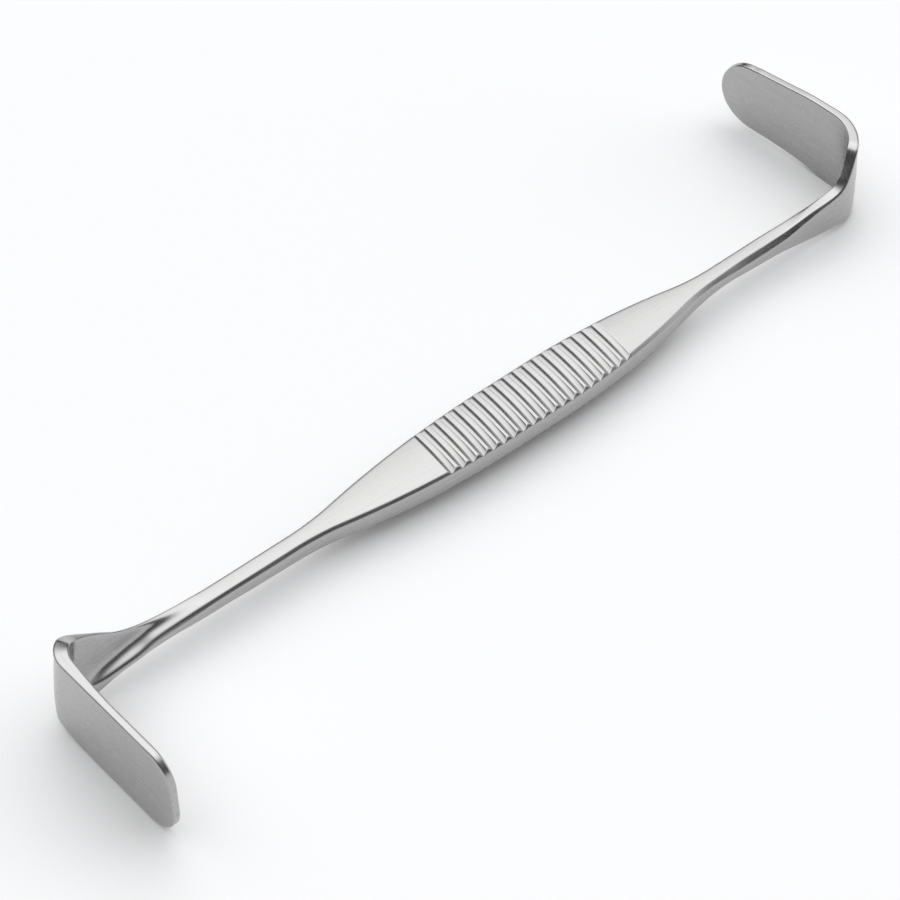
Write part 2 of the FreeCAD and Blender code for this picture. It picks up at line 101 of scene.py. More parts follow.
# Each key list runs along the outer line of an end, from the grip to the blade's tip. It holds
# pairs: a place in millimetres, and there a height or a cut in millimetres, or a share.
# radiusByHeight holds heights and radii instead, and the bends are tighter near the table.
leftEnd = {
    "side": -1,
    "belly": 165.0,
    "neck": 45.0,
    "shankEnd": 58.0,
    "bend": 80.2,
    "radius": 3.8,
    "radiusByHeight": [(2, 2.7), (6, 2.9), (12, 3.9), (18, 5.0)],
    "lean": 4.0,
    "reach": 26.25,
    "root": 2.35,
    "thick": 1.25,
    "thinning": 11.0,
    "soft": 0.27,
    "outerTop": [(56, 7.05), (60.7, 7.3), (63.7, 7.6), (67.8, 8.4), (71.4, 9.8), (74.7, 12.4), (80, 16.5),
                 (82.6, 18.3), (85.5, 18.8), (112, 18.8)],
    "outerBottom": [(56, 4.35), (64, 4.3), (70, 3.9), (75, 3.6), (79, 3.4), (82.4, 3.0), (84.5, 1.9),
                    (86.5, 1.05), (89, 0.5), (95, 0.15), (112, 0.0)],
    "crestAt": [(56, 0.55), (62, 0.42), (67, 0.27), (71, 0.2), (75, 0.27), (78, 0.47), (80, 0.7), (82, 0.92),
                (84, 1.0), (112, 1.0)],
    "crestShare": [(56, 0.0), (64, 0.5), (70, 1.0), (112, 1.0)],
    "hollowAt": [(56, 0.5), (64, 0.3), (71, 0.08), (75, 0.08), (78, 0.18), (82, 0.5), (112, 0.5)],
    "hollowHigh": [(56, 0.5), (62, 0.42), (67, 0.3), (71, 0.14), (75, 0.09), (78, 0.11), (82, 0.45),
                   (112, 0.5)],
    "shoulderTop": [(56, 7.05), (62, 6.75), (67, 6.4), (69.4, 5.6), (73, 5.0), (76.8, 4.5), (80, 4.6),
                    (87, 9.0), (112, 11.5)],
    "shoulderIn": [(62, 0.0), (70, 0.1), (76, 0.35), (80, 0.5), (84, 0.75), (88, 1.0), (112, 1.0)],
    "bandBottom": [(56, 4.4), (61, 4.6), (64, 4.9), (68, 4.8), (70, 4.4), (73, 3.95), (77, 2.5), (80, 1.5),
                   (83, 1.0), (86, 1.0), (95, 4.0), (112, 6.0)],
    "innerBottom": [(56, 4.38), (64, 4.3), (70, 3.8), (76, 3.0), (79, 2.1), (82, 1.5), (86.5, 1.0),
                    (89, 0.5), (95, 0.15), (112, 0.0)],
    "footShare": [(72, 0.0), (77, 0.12), (80, 0.3), (83, 0.7), (86.5, 1.0), (112, 1.0)],
    "outerCut": [(0, 0.34), (50, 0.3), (62, 0.15), (70, 0.05), (76, 0.0)],
    "innerCut": [(0, 0.46), (40, 0.5), (56, 0.6), (62, 0.65), (68, 0.6), (74, 0.5), (80, 0.4), (84, 0.25),
                 (88, 0.0)],
    "tipTop": 18.8,
    "tipBottom": 0.0,
    "upperRound": 5.5,
    "upperLong": 4.0,
    "lowerRound": 7.2,
    "lowerLong": 5.8,
}
rightEnd = {
    "side": 1,
    "belly": 125.0,
    "neck": 36.0,
    "shankEnd": 44.0,
    "bend": 62.6,
    "radius": 7.0,
    "radiusByHeight": [(3, 6.8), (8, 7.2), (14, 8.0)],
    "lean": 10.0,
    "reach": 28.9,
    "root": 1.8,
    "thick": 1.2,
    "thinning": 6.0,
    "soft": 0.15,
    "outerTop": [(38, 7.05), (46, 7.05), (51, 7.2), (54, 7.75), (57, 8.35), (60.2, 8.75), (61.8, 9.15),
                 (63.2, 10.1), (64.4, 11.75), (65.6, 13.6), (66.8, 14.95), (68.2, 15.3), (80, 15.2),
                 (86, 14.6), (92, 14.0), (98, 13.8)],
    "outerBottom": [(38, 4.6), (45, 4.1), (50, 3.7), (55.5, 2.6), (60, 1.8), (63, 1.5), (66, 0.9),
                    (69, 0.3), (73, 0.0), (78, 0.45), (82, 1.0), (88, 1.25), (98, 1.25)],
    "crestAt": [(38, 0.6), (44, 0.6), (52, 0.75), (58, 0.97), (60, 1.0), (98, 1.0)],
    "crestShare": [(50, 0.0), (54, 0.3), (58, 0.7), (60.5, 1.0), (98, 1.0)],
    "hollowAt": [(38, 0.5), (98, 0.5)],
    "hollowHigh": [(38, 0.5), (98, 0.5)],
    "shoulderTop": [(38, 7.05), (46, 7.05), (52, 7.2), (56, 7.75), (60, 8.4), (62.6, 8.9), (66, 9.2),
                    (76, 9.0), (98, 9.0)],
    "shoulderIn": [(46, 0.0), (52, 0.25), (56, 0.6), (60, 0.95), (62, 1.0), (98, 1.0)],
    "bandBottom": [(38, 4.6), (48, 4.1), (58, 3.6), (64, 3.4), (76, 4.2), (98, 5.0)],
    "innerBottom": [(38, 4.6), (48, 4.0), (56, 2.9), (62, 1.9), (66, 1.1), (69, 0.4), (73, 0.05),
                    (78, 0.45), (82, 1.0), (88, 1.25), (98, 1.25)],
    "footShare": [(54, 0.0), (58, 0.1), (60, 0.35), (62, 0.8), (63.5, 1.0), (98, 1.0)],
    "outerCut": [(0, 0.46), (36, 0.6), (44, 1.0), (50, 1.0), (55, 0.8), (59, 0.55), (62, 0.4), (65, 0.28),
                 (70, 0.12), (76, 0.0)],
    "innerCut": [(0, 0.34), (40, 0.3), (50, 0.2), (58, 0.08), (62, 0.0)],
    "tipTop": 13.9,
    "tipBottom": 1.25,
    "upperRound": 6.2,
    "upperLong": 5.8,
    "lowerRound": 6.3,
    "lowerLong": 6.3,
}
spacing = {
    "ringCounts": (30, 38, 30, 38),   # points up the outer side, over the top, down the inner side, back
    "edgeCount": 14,                  # of them, across a blade's upper or lower edge
    "fineRing": 1536,
    "crowdSamples": 400,
    "scoopSteps": 8,
    "ringGap": 0.03,        # a ring this near the grip's middle or the last close ring is left out
    "handle": 0.8,
    "flare": 0.45,
    "bend": 3.0,            # degrees
    "blade": 0.7,
    "tipSteps": 18,
    "rimStep": 10,          # degrees
}
edges = {
    "cutLean": 0.75,        # how far a cut edge reaches in, to its height
    "gripSoft": 0.20,       # spread of the smoothing that rounds the corners of a ring
    "ribSoft": 0.30,
    "bladeRound": 0.30,
    "crowdReach": 0.5,      # points crowd together this near a corner, and this strongly
    "cornerCrowd": 0.5,
    "crestCrowd": 0.6,
    "rimCrowd": 0.9,
    "bladeShoulder": 0.62,  # shares of a blade's height where the parts of its ring meet
    "bladeBand": 0.3,
    "capShares": (0.66, 0.33, 0.04),   # thickness of the rings that close a tip
}
blends = {                  # where one form passes into the next, in millimetres
    "undersideBefore": 6.0,     # each side of an end's first lower key
    "undersideAfter": 4.0,
    "crest": 8.0,               # before the shank's end
    "bulge": 14.0,
    "crown": 2.0,               # before the bend
    "bend": 14.0,
    "tip": 8.0,                 # before the blade's tip
    "bladeFrom": 0.35,          # as a share of the bend
    "bladeBeyond": 1.0,         # past the bend
}


def smoothCurve(keys, at):
    # passes through every key and never overshoots between two of them
    places = np.array([key[0] for key in keys], float)
    heights = np.array([key[1] for key in keys], float)
    step = np.diff(places)
    slope = np.diff(heights) / step
    tangent = np.zeros(len(keys))
    for k in range(1, len(keys) - 1):
        if slope[k - 1] * slope[k] > 0:
            before = 2 * step[k] + step[k - 1]
            after = step[k] + 2 * step[k - 1]
            tangent[k] = (before + after) / (before / slope[k - 1] + after / slope[k])
    at = np.clip(at, places[0], places[-1])
    k = np.clip(np.searchsorted(places, at) - 1, 0, len(step) - 1)
    t = (at - places[k]) / step[k]
    rest = 1 - t
    return (heights[k] * (1 + 2 * t) * rest ** 2 + heights[k + 1] * t * t * (3 - 2 * t)
            + tangent[k] * step[k] * t * rest ** 2 - tangent[k + 1] * step[k] * t * t * rest)


def along(end, name, place):
    # what one of the end's key lists gives at a place
    return float(smoothCurve(end[name], place))


def ease(low, high, at):
    t = np.clip((np.asarray(at, float) - low) / (high - low), 0, 1)
    return t * t * (3 - 2 * t)


def halfWidth(end, u):
    # side of the grip: straight, bulging, then hollow into the shank
    belly, neck = end["belly"], end["neck"]
    drop = grip["halfWidth"] - tool["slimHalf"]
    reach = math.sqrt((belly + neck) ** 2 - (belly + neck - drop) ** 2)
    neckMiddle = grip["halfParallel"] + reach
    meet = grip["halfParallel"] + reach * belly / (belly + neck)
    if u <= grip["halfParallel"]:
        return grip["halfWidth"]
    if u <= meet:
        return grip["halfWidth"] - belly + math.sqrt(belly ** 2 - (u - grip["halfParallel"]) ** 2)
    if u <= neckMiddle:
        return tool["slimHalf"] + neck - math.sqrt(neck ** 2 - (neckMiddle - u) ** 2)
    return tool["slimHalf"]


def bendPlaces(end):
    # angle that the bend turns through, its length on the outer line, and where the blade starts
    turn = math.radians(90 + end["lean"])
    length = end["radius"] * turn
    return turn, length, end["bend"] + length


def straightLength(end):
    lean = math.radians(end["lean"])
    middle = end["radius"] - tool["slimHalf"]
    return (end["reach"] - middle - end["radius"] * math.sin(lean)) / math.cos(lean)


def stations(end):
    # places along the outer line where a ring is drawn
    turn, bendLength, bladeStart = bendPlaces(end)
    ribZone = ribs["pitch"] * (ribs["count"] / 2 + ribs["runOut"])
    turns = np.arange(-1, int(ribs["count"] / 2) + 2)[:, None] + 0.5
    near = ((turns + end["side"] * np.array(ribs["rings"])) * ribs["pitch"]).ravel()
    gap = spacing["ringGap"]
    near = np.concatenate([[0], np.sort(near[(near > gap) & (near < ribZone - gap)])])
    handleLength = end["shankEnd"] - ribZone
    handle = np.linspace(ribZone, end["shankEnd"], int(handleLength / spacing["handle"]))
    flareLength = end["bend"] - end["shankEnd"]
    flare = np.linspace(end["shankEnd"], end["bend"], int(flareLength / spacing["flare"]))
    bend = end["bend"] + np.linspace(0, bendLength, int(math.degrees(turn) / spacing["bend"]))
    bladeLength = straightLength(end)
    bladeEnd = bladeStart + bladeLength
    tipZone = max(end["upperLong"], end["lowerLong"])
    plain = bladeStart + np.arange(0, bladeLength - tipZone, spacing["blade"])
    angles = np.linspace(0, math.pi / 2, spacing["tipSteps"] + 1)
    tip = bladeEnd - tipZone + tipZone * np.sin(angles)
    rimAngles = np.radians(np.arange(spacing["rimStep"], 90, spacing["rimStep"]))
    rim = bladeEnd - edges["bladeRound"] * (1 - np.sin(rimAngles))
    places = np.concatenate([near, handle, flare[1:], bend[1:], plain[1:], tip[1:], rim])
    return np.unique(np.round(places, 5))


def pathAt(end, place, radius):
    # the shank's middle line carried round a bend of each point's own radius, and its heading
    slim = tool["slimHalf"]
    turn, bendLength, bladeStart = bendPlaces(end)
    lean = math.radians(end["lean"])
    ownBend = end["bend"] + end["radius"] - radius
    ownLength = (end["reach"] - radius + slim - radius * math.sin(lean)) / math.cos(lean)
    middle = end["bend"] + bendLength / 2
    tip = bladeStart + straightLength(end)
    middleShift = ownBend + radius * turn / 2 - middle
    tipShift = ownBend + radius * turn + ownLength - tip
    shift = middleShift * ease(end["bend"] - blends["bend"], middle, place)
    shift = shift + (tipShift - middleShift) * ease(middle, tip - blends["tip"], place)
    run = place + shift - ownBend
    angle = np.clip(run / radius, 0, turn)
    beyond = np.maximum(run - radius * turn, 0)
    before = np.minimum(run, 0)
    inner = radius - slim
    u = ownBend + before + inner * np.sin(angle) + beyond * math.cos(turn)
    v = inner - inner * np.cos(angle) + beyond * math.sin(turn)
    return u, v, angle


def tipDrop(size, length, toTip):
    # how far a rounded corner of the tip has drawn in
    return size - size * math.sqrt(max(1 - (1 - toTip / length) ** 2, 0))


def bladeEdges(end, beyond, top, bottom):
    # top and bottom heights of the blade, rounded off at its tip
    toTip = straightLength(end) - beyond
    if toTip < end["upperLong"]:
        top = min(top, end["tipTop"]) - tipDrop(end["upperRound"], end["upperLong"], toTip)
    if toTip < end["lowerLong"]:
        bottom = max(bottom, end["tipBottom"]) + tipDrop(end["lowerRound"], end["lowerLong"], toTip)
    return top, bottom


def crowdedSteps(count, corners, length, spread):
    # count + 1 places from 0 to length, closer together near the corners
    samples = spacing["crowdSamples"]
    fine = np.linspace(0, length, samples)
    density = np.full(samples, 1.0 / length)
    for place, strength in corners:
        density += strength / spread * np.exp(-((fine - place) / spread) ** 2)
    total = np.concatenate([[0], np.cumsum((density[1:] + density[:-1]) / 2)])
    return np.interp(np.linspace(0, total[-1], count + 1), total, fine)


def sectionRing(form):
    # closed ring through the section's corners: upper edges cut, sides bulged, corners rounded
    corners = [np.array(corner, float) for corner in form["corners"]]
    outerBottom, outerTop, crest, hollow, shoulder, bandBottom, foot = corners
    outerCut, innerCut = form["cuts"]
    outerLow = outerTop - (0, outerCut)
    outerIn = outerTop + (outerCut * edges["cutLean"], 0)
    inwards = (hollow - shoulder) / max(np.linalg.norm(hollow - shoulder), tool["tiny"])
    shoulderIn = shoulder + inwards * innerCut * edges["cutLean"]
    shoulderLow = shoulder - (0, innerCut)
    t = np.linspace(0, 1, spacing["scoopSteps"] + 1)[1:-1, None]
    scoop = list(crest * (1 - t) ** 3 + hollow * 3 * t * (1 - t) + shoulderIn * t ** 3)
    loop = np.array([outerBottom, outerLow, outerIn, crest] + scoop
                    + [shoulderIn, shoulderLow, bandBottom, foot, outerBottom])
    lengths = np.maximum(np.linalg.norm(np.diff(loop, axis=0), axis=1), tool["tiny"])
    starts = np.concatenate([[0], np.cumsum(lengths)])
    lowAt, inAt, crestAt = starts[1:4]
    shoulderInAt, shoulderLowAt, bandAt, footAt, total = starts[-5:]
    topStart = (lowAt + inAt) / 2
    innerStart = (shoulderInAt + shoulderLowAt) / 2
    sides = {
        "outer": {"from": 0, "to": topStart, "outwards": (-1, 0), "corners": []},
        "top": {"from": topStart, "to": innerStart, "outwards": (0, 1), "corners": [crestAt]},
        "inner": {"from": innerStart, "to": bandAt, "outwards": (1, 0), "corners": []},
        "under": {"from": bandAt, "to": total, "outwards": (0, -1), "corners": [footAt]},
    }
    fine = np.arange(spacing["fineRing"]) * total / spacing["fineRing"]
    points = np.stack([np.interp(fine, starts, loop[:, 0]), np.interp(fine, starts, loop[:, 1])], 1)
    for name, height in form["bulges"].items():
        side = sides[name]
        t = np.clip((fine - side["from"]) / max(side["to"] - side["from"], tool["tiny"]), 0, 1)
        points += np.outer(height * 4 * t * (1 - t), side["outwards"])
    waves = np.fft.rfftfreq(spacing["fineRing"], total / spacing["fineRing"])
    softening = np.exp(-2 * (math.pi * waves * form["soft"]) ** 2)
    points = np.fft.irfft(np.fft.rfft(points, axis=0) * softening[:, None], spacing["fineRing"], axis=0)
    places = []
    for count, side in zip(spacing["ringCounts"], sides.values()):
        length = side["to"] - side["from"]
        crowd = [(0, edges["cornerCrowd"]), (length, edges["cornerCrowd"])]
        crowd += [(corner - side["from"], form["crestCrowd"]) for corner in side["corners"]]
        places.append(side["from"] + crowdedSteps(count, crowd, length, edges["crowdReach"])[:-1])
    places = np.concatenate(places)
    closed = np.vstack([points, points[:1]])
    fine = np.append(fine, total)
    return np.stack([np.interp(places, fine, closed[:, 0]), np.interp(places, fine, closed[:, 1])], 1)


def bladeRing(end, beyond, form):
    # flat blade whose faces draw together near its rounded edge
    thick, top, bottom = form["thick"], form["top"], form["bottom"]
    up, upLong = end["upperRound"], end["upperLong"]
    low, lowLong = end["lowerRound"], end["lowerLong"]
    rounding = edges["bladeRound"]

    def inside(z):
        # distance from the blade's outline
        toTip = straightLength(end) - beyond
        distance = np.minimum(np.minimum(top - z, z - bottom), toTip)
        if toTip < upLong:
            centre = min(top, end["tipTop"]) - up
            corner = (1 - np.hypot(1 - toTip / upLong, (z - centre) / up)) * min(up, upLong)
            distance = np.where(z > centre, np.minimum(corner, distance), distance)
        if toTip < lowLong:
            centre = max(bottom, end["tipBottom"]) + low
            corner = (1 - np.hypot(1 - toTip / lowLong, (z - centre) / low)) * min(low, lowLong)
            distance = np.where(z < centre, np.minimum(corner, distance), distance)
        return np.maximum(distance, 0)

    def faceHalf(z):
        depth = np.clip(inside(z), 0, rounding)
        return thick / 2 - rounding + np.sqrt(np.maximum(rounding ** 2 - (rounding - depth) ** 2, 0))

    high, deep = bladeEdges(end, beyond, top, bottom)
    shoulder = deep + (high - deep) * edges["bladeShoulder"]
    band = deep + (high - deep) * edges["bladeBand"]
    tall = max(high - deep, tool["tiny"])
    reach = min(edges["crowdReach"], tall / 4)
    crowd = edges["rimCrowd"]
    outerCount, topCount, innerCount, underCount = spacing["ringCounts"]
    edgeCount = spacing["edgeCount"]
    outerZ = deep + crowdedSteps(outerCount, [(0, crowd), (tall, crowd)], tall, reach)[:-1]
    topHalf = float(faceHalf(np.array([high]))[0])
    topA = np.linspace(-topHalf, topHalf, edgeCount, endpoint=False)
    upperZ = high - crowdedSteps(topCount - edgeCount, [(0, crowd)], high - shoulder, reach)[:-1]
    bandZ = shoulder - np.linspace(0, shoulder - band, innerCount + 1)[:-1]
    lowerZ = band - crowdedSteps(underCount - edgeCount, [(band - deep, crowd)], band - deep, reach)[:-1]
    lowHalf = float(faceHalf(np.array([deep]))[0])
    underA = np.linspace(lowHalf, -lowHalf, edgeCount, endpoint=False)
    a = np.concatenate([-faceHalf(outerZ), topA, faceHalf(upperZ), faceHalf(bandZ), faceHalf(lowerZ), underA])
    z = np.concatenate([outerZ, np.full(edgeCount, high), upperZ, bandZ, lowerZ, np.full(edgeCount, deep)])
    return np.stack([thick / 2 - tool["slimHalf"] + a, z], 1)


def lowerLine(end, name, place):
    # a lower corner's height: the grip's thinning underside, then the end's own keys
    taper = np.clip((place - grip["bellyHalf"]) / (end["shankEnd"] - grip["bellyHalf"]), 0, 1)
    plain = grip["underside"] + (grip["thinUnderside"] - grip["underside"]) * taper
    first = end["outerBottom"][0][0]
    own = ease(first - blends["undersideBefore"], first + blends["undersideAfter"], place)
    return plain + (along(end, name, place) - plain) * own


def softness(end, place, plain):
    # how much a section's corners are rounded
    ribEdge = ribs["pitch"] * ribs["count"] / 2
    inRibs = 1 - ease(ribEdge - ribs["softFrom"], ribEdge + ribs["softTo"], place)
    soft = end["soft"] + (edges["gripSoft"] - end["soft"]) * plain
    return soft + (edges["ribSoft"] - soft) * inRibs


def formAt(end, place):
    # the section at one place: its corners as (across, height), and how they are finished
    bladeStart = bendPlaces(end)[2]
    wide = halfWidth(end, min(place, end["shankEnd"]))
    thinned = ease(end["bend"], bladeStart + end["thinning"], place)
    thick = end["root"] + (end["thick"] - end["root"]) * thinned
    strip = thick - tool["slimHalf"]
    shoulderA = wide + (strip - wide) * along(end, "shoulderIn", place)
    width = shoulderA + wide
    plain = 1 - ease(end["shankEnd"], end["bend"] - blends["crown"], place)
    crown = grip["crownShare"] * width * plain
    outerTop = along(end, "outerTop", place) - crown * grip["crownSink"]
    shoulderTop = along(end, "shoulderTop", place) - crown * grip["crownSink"]
    outerBottom = lowerLine(end, "outerBottom", place)
    innerBottom = lowerLine(end, "innerBottom", place)
    bandBottom = lowerLine(end, "bandBottom", place)

    plainCrest = -wide + width * grip["crestPlace"]
    ownCrest = -wide + thick * along(end, "crestAt", place)
    onShank = ease(end["shankEnd"] - blends["crest"], end["shankEnd"], place)
    crestA = plainCrest + (ownCrest - plainCrest) * onShank
    line = outerTop + (shoulderTop - outerTop) * (crestA + wide) / width
    crestZ = line + (outerTop - line) * along(end, "crestShare", place)
    hollowA = crestA + (shoulderA - crestA) * along(end, "hollowAt", place)
    hollowZ = shoulderTop + (crestZ - shoulderTop) * along(end, "hollowHigh", place)

    footShare = along(end, "footShare", place)
    footIn = max(ease(end["shankEnd"], end["bend"], place), footShare)
    footA = plainCrest + (strip - plainCrest) * footIn
    footLine = bandBottom + (outerBottom - bandBottom) * (shoulderA - footA) / width
    footZ = footLine + (innerBottom - footLine) * footShare

    calm = 1 - ease(end["shankEnd"] - blends["bulge"], end["shankEnd"], place)
    sideBulge = grip["sideBulge"] * calm
    return {
        "corners": [(-wide, outerBottom), (-wide, outerTop), (crestA, crestZ), (hollowA, hollowZ),
                    (shoulderA, shoulderTop), (shoulderA, bandBottom), (footA, footZ)],
        "cuts": (along(end, "outerCut", place), along(end, "innerCut", place)),
        "soft": softness(end, place, plain),
        "bulges": {"outer": sideBulge, "top": crown, "inner": sideBulge, "under": crown * calm},
        "crestCrowd": edges["crestCrowd"] * footShare,
        "thick": thick,
        "top": outerTop,
        "bottom": outerBottom,
    }


def ringAt(end, place, form):
    # the form of the handle and flare passes into the flat blade round the bend
    bendLength, bladeStart = bendPlaces(end)[1:]
    ring = sectionRing(form)
    share = ease(end["bend"] + bendLength * blends["bladeFrom"], bladeStart + blends["bladeBeyond"], place)
    if share > 0:
        flat = bladeRing(end, max(place - bladeStart, 0.0), form)
        ring = ring * (1 - share) + flat * share
    return ring


def standRing(end, place, ring):
    # stands a section up where the bent strip runs
    radius = smoothCurve(end["radiusByHeight"], ring[:, 1])
    u, v, angle = pathAt(end, place, radius)
    return np.stack([u - ring[:, 0] * np.sin(angle), v + ring[:, 0] * np.cos(angle), ring[:, 1]], 1)


def buildEnd(end):
    # rings of one half of the tool in its own u, v and z, and the brush coordinates of their points
    rings = []
    brush = []
    for place in stations(end):
        form = formAt(end, place)
        ring = ringAt(end, place, form)
        rings.append(standRing(end, place, ring))
        brush.append(np.stack([np.full(len(ring), place), ring[:, 1] - ring[:, 0]], 1))
    middle = form["thick"] / 2 - tool["slimHalf"]
    for share in edges["capShares"]:
        thin = np.stack([middle + (ring[:, 0] - middle) * share, ring[:, 1]], 1)
        rings.append(standRing(end, place, thin))
        brush.append(brush[-1])
    return np.array(rings), np.array(brush)


def toWorld(end, points):
    out = np.empty_like(points)
    out[..., 0] = end["side"] * points[..., 0] + tool["middleX"]
    out[..., 1] = end["side"] * points[..., 1] + tool["middleY"]
    out[..., 2] = points[..., 2]
    return out


def reverseRing(block):
    # the left end's rings run round the other way, starting from the other side
    outer, over, inner, back = spacing["ringCounts"]
    count = outer + over + inner + back
    order = [(outer + over + inner - k) % count for k in range(count)]
    return block[:, order]


def assemble():
    # both halves end to end, from the left tip to the right one
    rightRings, rightBrush = buildEnd(rightEnd)
    leftRings, leftBrush = buildEnd(leftEnd)
    leftBrush[:, :, 0] *= -1
    leftRings = reverseRing(toWorld(leftEnd, leftRings))[:0:-1]
    leftBrush = reverseRing(leftBrush)[:0:-1]
    rings = np.concatenate([leftRings, toWorld(rightEnd, rightRings)])
    brush = np.concatenate([leftBrush, rightBrush])
    return rings, brush


def capFaces(first, count, forward):
    # closes an end: the last ring is as thin as the blade's edge, so its two faces are joined across
    faces = []
    halfEdge = spacing["edgeCount"] // 2
    middle = spacing["ringCounts"][0] + halfEdge
    low = count - halfEdge
    one = [(low + k) % count for k in range((middle - low) % count + 1)]
    two = [(low - k) % count for k in range((low - middle) % count + 1)]
    oneLast, twoLast = len(one) - 1, len(two) - 1
    i = j = 0
    while i < oneLast or j < twoLast:
        if j >= twoLast or (i < oneLast and i / oneLast <= j / twoLast):
            face = [one[i], one[i + 1], two[j]]
            i += 1
        else:
            face = [one[i], two[j + 1], two[j]]
            j += 1
        if len(set(face)) == 3:
            faces.append([first + k for k in (face if forward else face[::-1])])
    return faces


def makeMesh(name, rings, brush):
    ringCount, count = rings.shape[:2]
    points = rings.reshape(-1, 3) * tool["unit"]
    low = np.array(cadBounds[0]) + tool["boxGap"]
    high = np.array(cadBounds[1]) - tool["boxGap"]
    points = np.clip(points, low, high)
    faces = []
    for k in range(ringCount - 1):
        for i in range(count):
            j = (i + 1) % count
            faces.append((k * count + i, (k + 1) * count + i, (k + 1) * count + j, k * count + j))
    faces += capFaces(0, count, False)
    faces += capFaces((ringCount - 1) * count, count, True)
    mesh = bpy.data.meshes.new(name)
    mesh.from_pydata(points.tolist(), [], faces)
    layer = mesh.uv_layers.new(name="brush")
    flat = brush.reshape(-1, 2)
    loops = np.empty(len(mesh.loops), np.int32)
    mesh.loops.foreach_get("vertex_index", loops)
    layer.data.foreach_set("uv", (flat[loops] * tool["brushUnit"]).ravel())
    mesh.validate()
    work = bmesh.new()
    work.from_mesh(mesh)
    bmesh.ops.recalc_face_normals(work, faces=work.faces)
    work.to_mesh(mesh)
    work.free()
    mesh.update()
    return mesh


# Material

steel = {
    "colour": (0.425, 0.422, 0.420, 1.0),
    "roughness": 0.27,
    "roughSpread": 0.05,
    "tintSpread": 0.07,
    "streakLength": 9.0,    # noise scales, to a UV unit of 100 mm
    "streakFine": 620.0,
    "streakBroad": 150.0,
    "fineDetail": 3.0,
    "broadDetail": 2.0,
    "noiseRough": 0.6,
    "noiseLow": 0.3,        # most of the noise lies between these
    "noiseHigh": 0.7,
    "bump": 0.035,
    "bumpHeight": 0.0002,
    "anisotropy": 0.35,
    "anisotropyTurn": 0.25,
}


def steelMaterial():
    material = bpy.data.materials.new("brushedSteel")
    material.use_nodes = True
    nodes, links = material.node_tree.nodes, material.node_tree.links
    shader = nodes["Principled BSDF"]
    shader.inputs["Metallic"].default_value = 1.0
    shader.inputs["Anisotropic"].default_value = steel["anisotropy"]
    shader.inputs["Anisotropic Rotation"].default_value = steel["anisotropyTurn"]
    tangent = nodes.new("ShaderNodeTangent")
    tangent.direction_type = "UV_MAP"
    tangent.uv_map = "brush"
    links.new(tangent.outputs[0], shader.inputs["Tangent"])
    place = nodes.new("ShaderNodeUVMap")
    place.uv_map = "brush"

    def streaks(fine, detail):
        # noise drawn out along the tool
        stretch = nodes.new("ShaderNodeMapping")
        stretch.inputs["Scale"].default_value = (steel["streakLength"], fine, 1.0)
        links.new(place.outputs[0], stretch.inputs["Vector"])
        noise = nodes.new("ShaderNodeTexNoise")
        noise.inputs["Scale"].default_value = 1.0
        noise.inputs["Detail"].default_value = detail
        noise.inputs["Roughness"].default_value = steel["noiseRough"]
        links.new(stretch.outputs[0], noise.inputs["Vector"])
        return noise.outputs["Fac"]

    def spread(source, low, high):
        # stretches the noise to run from low to high
        node = nodes.new("ShaderNodeMapRange")
        node.inputs["From Min"].default_value = steel["noiseLow"]
        node.inputs["From Max"].default_value = steel["noiseHigh"]
        node.inputs["To Min"].default_value = low
        node.inputs["To Max"].default_value = high
        links.new(source, node.inputs["Value"])
        return node.outputs["Result"]

    # half fine streaks, half broad ones
    half = nodes.new("ShaderNodeMath")
    half.operation = "MULTIPLY"
    half.inputs[1].default_value = 0.5
    links.new(streaks(steel["streakFine"], steel["fineDetail"]), half.inputs[0])
    both = nodes.new("ShaderNodeMath")
    both.operation = "MULTIPLY_ADD"
    both.inputs[1].default_value = 0.5
    links.new(streaks(steel["streakBroad"], steel["broadDetail"]), both.inputs[0])
    links.new(half.outputs[0], both.inputs[2])
    rough = steel["roughness"]
    links.new(spread(both.outputs[0], rough - steel["roughSpread"], rough + steel["roughSpread"]),
              shader.inputs["Roughness"])
    tint = nodes.new("ShaderNodeMix")
    tint.data_type = "RGBA"
    for name, factor in (("A", 1 - steel["tintSpread"]), ("B", 1 + steel["tintSpread"])):
        tint.inputs[name].default_value = [part * factor for part in steel["colour"][:3]] + [1.0]
    links.new(spread(both.outputs[0], 0.0, 1.0), tint.inputs["Factor"])
    links.new(tint.outputs["Result"], shader.inputs["Base Color"])
    bump = nodes.new("ShaderNodeBump")
    bump.inputs["Strength"].default_value = steel["bump"]
    bump.inputs["Distance"].default_value = steel["bumpHeight"]
    links.new(both.outputs[0], bump.inputs["Height"])
    links.new(bump.outputs[0], shader.inputs["Normal"])
    return material


# Ribs

